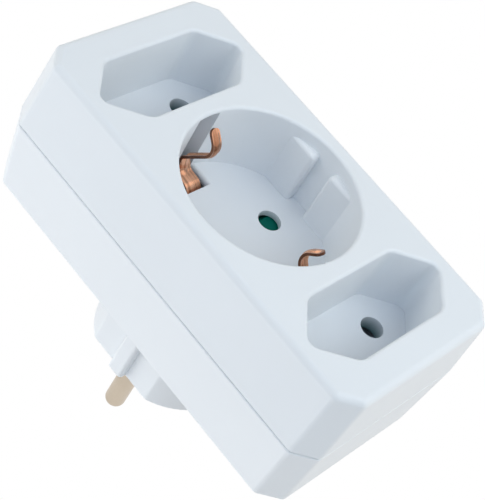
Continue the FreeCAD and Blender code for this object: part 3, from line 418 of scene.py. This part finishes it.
class ADAPTER_OT_shells(bpy.types.Operator):
    """Finish the two white shells"""

    bl_idname = "adapter.shells"
    bl_label = "Shells"

    def execute(self, context):
        plastic = context.scene.adapter_plastic
        look = (plastic.shell, plastic.gloss, plastic.grain, plastic.relief)
        # The front shell gets painted shade in the depths of its pin holes.
        finish_cad("front_shell", plastic_finish("front_plastic", *look, painted_hole_shade=plastic.painted_hole_shade))
        finish_cad("rear_shell", plastic_finish("rear_plastic", *look))
        return {"FINISHED"}


class ADAPTER_OT_inner_plastics(bpy.types.Operator):
    """Finish the inner cover and the shutter"""

    bl_idname = "adapter.inner_plastics"
    bl_label = "Cover and shutter"

    def execute(self, context):
        plastic = context.scene.adapter_plastic
        grey = plastic_finish(
            "inner_plastic", plastic.inside, 0.55, plastic.grain, plastic.relief
        )
        green = plastic_finish(
            "green_plastic", plastic.shutter, 0.5, plastic.grain, plastic.relief, specular=0.12
        )
        finish_cad("inner_cover", grey)
        finish_cad("socket_shutter", green)
        return {"FINISHED"}


class ADAPTER_OT_pins(bpy.types.Operator):
    """Finish the plug's pins and its side contacts"""

    bl_idname = "adapter.pins"
    bl_label = "Pins"

    def execute(self, context):
        metal = context.scene.adapter_metal
        dark = [part * 0.9 for part in metal.nickel]
        nickel = metal_finish(
            "nickel_plate", metal.nickel, dark, 0.34, (1.0, 0.05, 1.0), patch=9 * MM
        )
        for name in ("live_plug_pin", "neutral_plug_pin", "plug_earth_strip", "earth_rivet"):
            finish_cad(name, nickel)
        return {"FINISHED"}


def rounded_route(corners, spacing):
    """Evenly spaced points along a flat route, from its corners and the bend at each one."""
    turns = [corners[0][0]]
    for (before, _), (corner, bend), (after, _) in zip(corners, corners[1:], corners[2:]):
        ahead = (corner - before).normalized()
        onward = (after - corner).normalized()
        side = math.copysign(1.0, ahead.cross(onward))
        angle = ahead.angle(onward)
        start = corner - ahead * bend * math.tan(angle / 2)
        centre = start + Vector((-ahead.y, ahead.x)) * bend * side
        count = max(3, math.ceil(bend * angle / spacing))
        for index in range(count + 1):
            spin = Matrix.Rotation(side * angle * index / count, 2)
            turns.append(centre + spin @ (start - centre))
    turns.append(corners[-1][0])
    points = [turns[0]]
    for start, finish in zip(turns, turns[1:]):
        count = max(1, round((finish - start).length / spacing))
        points += [start.lerp(finish, index / count) for index in range(1, count + 1)]
    return points


def smooth_step(low, high, place):
    """Rises smoothly from 0 to 1 as a place goes from low to high."""
    part = min(1.0, max(0.0, (place - low) / (high - low)))
    return part * part * (3 - 2 * part)


class ADAPTER_OT_earth_clips(bpy.types.Operator):
    """Add the copper strip whose ends are the round socket's earth clips"""

    bl_idname = "adapter.earth_clips"
    bl_label = "Earth clips"

    def execute(self, context):
        clip = context.scene.adapter_clip
        metal = context.scene.adapter_metal
        points = self.strip_route(clip)
        ends = self.end_distances(points)
        mesh = bpy.data.meshes.new("earth_clips")
        shape = bmesh.new()
        rows = len(points) - 1
        bmesh.ops.create_grid(shape, x_segments=COLUMNS, y_segments=rows, size=0.5)
        for vertex in shape.verts:
            row = round((vertex.co.y + 0.5) * rows)
            along = points[min(row + 1, rows)] - points[max(row - 1, 0)]
            normal = Vector((-along.y, along.x)).normalized()
            half = self.half_width(clip, ends[row])
            across = vertex.co.x * 2 * half
            place = points[row] + normal * self.bead(clip, across, ends[row])
            vertex.co = Vector((across - clip.shift, -place.y, place.x))
        for face in shape.faces:
            face.smooth = True
        shape.to_mesh(mesh)
        shape.free()
        strip = bpy.data.objects.new("earth_clips", mesh)
        context.collection.objects.link(strip)
        rolling = (1.0, 0.05, 0.05)
        # The edge finish goes on the strip's side faces as a painted dark reflection; both finishes
        # carry dark lines along the strip that are partly painted reflected streaks.
        for name, base, rough in (("strip", metal.copper, 0.2), ("edge", metal.copper_edge_painted_reflection, 0.4)):
            finish = metal_finish(
                f"copper_{name}", base, metal.copper_tarnish_and_painted_streaks, rough, rolling, patch=8 * MM, lines=0.75
            )
            mesh.materials.append(finish)
        self.thicken(strip, clip)
        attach(strip, "housing")
        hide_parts("socket_earth_strip")
        return {"FINISHED"}

    def strip_route(self, clip):
        """Reach and height of the strip's middle, from one free end to the other."""
        half = [
            (0.0, clip.base, 0.0),
            (clip.riser, clip.base, clip.bend),
            (clip.riser, clip.riser_height, clip.bend),
            (clip.ramp_reach, clip.ramp_height, clip.foot_bend),
            (clip.step_reach, clip.step_height, clip.foot_bend),
            (clip.elbow_reach, clip.elbow_height, clip.bend),
            (clip.throat_reach, clip.throat_height, clip.throat_bend),
            (clip.tip_reach, clip.tip_height, 0.0),
        ]
        mirrored = [(-reach, height, bend) for reach, height, bend in half[:0:-1]]
        corners = [(Vector((reach, height)), bend) for reach, height, bend in mirrored + half[1:]]
        return rounded_route(corners, clip.grid)

    def end_distances(self, points):
        """How far along the strip each point is from the nearer free end."""
        steps = [(b - a).length for a, b in zip(points, points[1:])]
        walked = [sum(steps[:index]) for index in range(len(points))]
        return [min(place, walked[-1] - place) for place in walked]

    def half_width(self, clip, along):
        """Half of the strip's width, which narrows to the hook and rounds off at its end."""
        reach = clip.throat_reach - clip.elbow_reach
        hook = math.hypot(reach, clip.throat_height - clip.elbow_height)
        hook += clip.tip_height - clip.throat_height
        widening = smooth_step(hook, WIDENING * hook, along)
        half = (clip.hook_width + (clip.foot_width - clip.hook_width) * widening) / 2
        if along < clip.tip_round:
            left = clip.tip_round - along
            half -= clip.tip_round - math.sqrt(clip.tip_round ** 2 - left * left)
        return half

    def bead(self, clip, across, along):
        """Rise of the bead that is pressed along the middle of each hook."""
        edge = 1 - smooth_step(0.2 * clip.bead_width, 0.8 * clip.bead_width, abs(across))
        start = smooth_step(clip.tip_round * 0.5, clip.tip_round * 1.5, along)
        end = 1 - smooth_step(*BEAD_END, along)
        return clip.bead_rise * edge * start * end

    def thicken(self, strip, clip):
        solidify = strip.modifiers.new("thickness", "SOLIDIFY")
        solidify.thickness = clip.wall
        solidify.offset = 0.0
        # The side faces take the edge finish, whose near-black colour is a painted dark reflection.
        solidify.material_offset_rim = 1
        bevel = strip.modifiers.new("edges", "BEVEL")
        bevel.width = clip.edge
        bevel.segments = EDGE_SEGMENTS
        bevel.limit_method = "ANGLE"
        bevel.angle_limit = math.radians(EDGE_DEGREES)
        bevel.harden_normals = True


class ADAPTER_OT_contacts(bpy.types.Operator):
    """Finish the hidden brass contacts, bars and rivets"""

    bl_idname = "adapter.contacts"
    bl_label = "Contacts"

    def execute(self, context):
        metal = context.scene.adapter_metal
        dark = [part * 0.55 for part in metal.brass]
        brass = metal_finish("brass_strip", metal.brass, dark, 0.36, (1.0, 1.0, 0.05))
        names = ["contact_rivets"]
        for pole in ("live", "neutral"):
            names.append(f"{pole}_busbar")
            names += [f"{place}_{pole}_contact" for place in ("upper_flat", "round", "lower_flat")]
        for name in names:
            finish_cad(name, brass)
        return {"FINISHED"}


class ADAPTER_OT_steel(bpy.types.Operator):
    """Finish the screws and the shutter's spring"""

    bl_idname = "adapter.steel"
    bl_label = "Screws and spring"

    def execute(self, context):
        metal = context.scene.adapter_metal
        dark = [part * 0.6 for part in metal.steel]
        steel = metal_finish("zinc_plate", metal.steel, dark, 0.4, (1.0, 1.0, 1.0))
        for name in ("housing_screws", "shutter_spring"):
            finish_cad(name, steel)
        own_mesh(cad("shutter_spring"))
        return {"FINISHED"}


# Stage

# The camera's place and its own right and up directions, fitted to the photograph
CAMERA_RIGHT = Vector((0.675461, -0.387921, -0.627113))
CAMERA_UP = Vector((0.345380, -0.584957, 0.733852))
CAMERA_PLACE = Vector((-0.191771, -0.247584, -0.079231))
SENSOR_WIDTH = 36.0

# The floor lies this far under the adapter, reaches this far each way and has a paper's grain
FLOOR_GAP = 0.0002
FLOOR_REACH = 3.0
PAPER_GRAIN = 0.6 * MM
PAPER_RELIEF = 0.02 * MM

# The lamps' distance from the adapter's middle and their width
LAMP_REACH = 0.6
LAMP_SIZE = 0.5
MIDDLE = Vector((0.0, -0.03, 0.0))

# Each lamp's direction in the camera's own axes (right, up, back), its power and its colour
LAMPS = {
    "upper_left": ((-0.6, 0.6, 0.5), 1.5, (0.98, 1.0, 0.97)),
    "left": ((-0.95, -0.1, -0.1), 1.45, (0.93, 0.96, 1.0)),
    "low_left": ((-0.6, -0.75, -0.15), 1.5, (0.97, 0.98, 0.98)),
    "right": ((0.82, 0.22, 0.52), 1.82, (0.94, 0.99, 1.0)),
    "low_right": ((0.85, -0.45, -0.15), 0.52, (1.0, 0.86, 0.76)),
    "low_front": ((0.6, -0.6, 0.55), 0.68, (0.84, 0.95, 1.0)),
    "far_side": ((0.675, 0.345, -0.652), 0.7, (0.96, 0.98, 1.0)),
    "front": ((0.0, 0.1, 1.0), 0.82, (0.56, 0.74, 1.0)),
}


class ADAPTER_OT_stage(bpy.types.Operator):
    """Set up the camera, the lamps, the room and the floor"""

    bl_idname = "adapter.stage"
    bl_label = "Camera, light and floor"

    def execute(self, context):
        stage = context.scene.adapter_stage
        self.make_camera(context, stage)
        self.make_lamps(context, stage)
        self.make_room(context, stage)
        self.make_floor(context, stage)
        context.scene.view_settings.view_transform = "Standard"
        return {"FINISHED"}

    def make_camera(self, context, stage):
        data = bpy.data.cameras.new("camera")
        data.lens = stage.lens
        data.sensor_width = SENSOR_WIDTH
        camera = bpy.data.objects.new("camera", data)
        context.collection.objects.link(camera)
        back = CAMERA_RIGHT.cross(CAMERA_UP).normalized()
        turn = Matrix((CAMERA_RIGHT, CAMERA_UP, back)).transposed().to_4x4()
        camera.matrix_world = Matrix.Translation(CAMERA_PLACE) @ turn
        context.scene.camera = camera

    def make_lamps(self, context, stage):
        back = CAMERA_RIGHT.cross(CAMERA_UP)
        for name, (direction, power, tint) in LAMPS.items():
            data = bpy.data.lights.new(f"{name}_lamp", "AREA")
            data.shape = "SQUARE"
            data.size = LAMP_SIZE
            data.energy = power * stage.power
            data.color = tint
            lamp = bpy.data.objects.new(f"{name}_lamp", data)
            context.collection.objects.link(lamp)
            right, up, behind = direction
            towards = (CAMERA_RIGHT * right + CAMERA_UP * up + back * behind).normalized()
            lamp.rotation_mode = "QUATERNION"
            lamp.rotation_quaternion = towards.to_track_quat("Z", "Y")
            lamp.location = MIDDLE + towards * LAMP_REACH
            lamp.visible_glossy = False
            lamp.visible_camera = False

    def make_room(self, context, stage):
        """An even pale light that camera, glossy and transmission rays see as white."""
        world = bpy.data.worlds.new("room")
        world.use_nodes = True
        context.scene.world = world
        tree = world.node_tree
        plain = tree.nodes["Background"]
        plain.inputs["Color"].default_value = (1.0, 0.99, 0.98, 1.0)
        plain.inputs["Strength"].default_value = stage.ambient
        white = tree.nodes.new("ShaderNodeBackground")
        white.inputs["Color"].default_value = (1.0, 1.0, 1.0, 1.0)
        white.inputs["Strength"].default_value = 1.0
        path = tree.nodes.new("ShaderNodeLightPath")
        seen = path.outputs["Is Camera Ray"]
        for key in ("Is Glossy Ray", "Is Transmission Ray"):
            either = tree.nodes.new("ShaderNodeMath")
            either.operation = "MAXIMUM"
            tree.links.new(seen, either.inputs[0])
            tree.links.new(path.outputs[key], either.inputs[1])
            seen = either.outputs["Value"]
        choice = tree.nodes.new("ShaderNodeMixShader")
        tree.links.new(seen, choice.inputs["Fac"])
        tree.links.new(plain.outputs["Background"], choice.inputs[1])
        tree.links.new(white.outputs["Background"], choice.inputs[2])
        tree.links.new(choice.outputs["Shader"], tree.nodes["World Output"].inputs["Surface"])

    def make_floor(self, context, stage):
        """A floor that shows from above only, because the photograph looks up past it."""
        mesh = bpy.data.meshes.new("floor")
        shape = bmesh.new()
        bmesh.ops.create_grid(shape, x_segments=1, y_segments=1, size=FLOOR_REACH)
        bmesh.ops.translate(shape, verts=shape.verts, vec=(0, 0, CAD_BOX[0][2] - FLOOR_GAP))
        shape.to_mesh(mesh)
        shape.free()
        floor = bpy.data.objects.new("floor", mesh)
        context.collection.objects.link(floor)
        finish = Finish("floor_paper", stage.floor, 0.8)
        finish.shader.inputs["Emission Color"].default_value = (1.0, 1.0, 1.0, 1.0)
        seen = finish.tree.nodes.new("ShaderNodeLightPath").outputs["Is Camera Ray"]
        finish.connect(finish.ramp(seen, 0, stage.floor_glow), "Emission Strength")
        paper = finish.noise(PAPER_GRAIN)
        finish.connect(finish.relief(paper, PAPER_RELIEF, 0.2), "Normal")
        side = finish.tree.nodes.new("ShaderNodeNewGeometry")
        clear = finish.tree.nodes.new("ShaderNodeBsdfTransparent")
        choice = finish.tree.nodes.new("ShaderNodeMixShader")
        link = finish.tree.links.new
        link(side.outputs["Backfacing"], choice.inputs["Fac"])
        link(finish.shader.outputs["BSDF"], choice.inputs[1])
        link(clear.outputs["BSDF"], choice.inputs[2])
        link(choice.outputs["Shader"], finish.tree.nodes["Material Output"].inputs["Surface"])
        mesh.materials.append(finish.material)
        for flag in ("diffuse", "glossy", "transmission", "shadow"):
            setattr(floor, f"visible_{flag}", False)


OPERATORS = (
    ADAPTER_OT_shells,
    ADAPTER_OT_inner_plastics,
    ADAPTER_OT_pins,
    ADAPTER_OT_earth_clips,
    ADAPTER_OT_contacts,
    ADAPTER_OT_steel,
    ADAPTER_OT_stage,
)


class ADAPTER_PT_panel(bpy.types.Panel):
    """Lists the adapter's settings and the operators that make its pieces"""

    bl_idname = "ADAPTER_PT_panel"
    bl_label = "Wall adapter"
    bl_space_type = "VIEW_3D"
    bl_region_type = "UI"
    bl_category = "Adapter"

    def draw(self, context):
        for settings in SETTINGS:
            group = getattr(context.scene, settings)
            for name in group.bl_rna.properties.keys():
                if name not in ("rna_type", "name"):
                    self.layout.prop(group, name)
        for operator in OPERATORS:
            self.layout.operator(operator.bl_idname)


SETTINGS = {
    "adapter_plastic": PlasticSettings,
    "adapter_metal": MetalSettings,
    "adapter_clip": ClipSettings,
    "adapter_stage": StageSettings,
}
CLASSES = (*SETTINGS.values(), *OPERATORS, ADAPTER_PT_panel)


def register():
    for kind in CLASSES:
        bpy.utils.register_class(kind)
    for name, kind in SETTINGS.items():
        setattr(bpy.types.Scene, name, PointerProperty(type=kind))


def unregister():
    for name in SETTINGS:
        delattr(bpy.types.Scene, name)
    for kind in reversed(CLASSES):
        bpy.utils.unregister_class(kind)


def main():
    register()
    bpy.ops.adapter.shells()
    bpy.ops.adapter.inner_plastics()
    bpy.ops.adapter.pins()
    bpy.ops.adapter.earth_clips()
    bpy.ops.adapter.contacts()
    bpy.ops.adapter.steel()
    bpy.ops.adapter.stage()


if __name__ == "__main__":
    main()
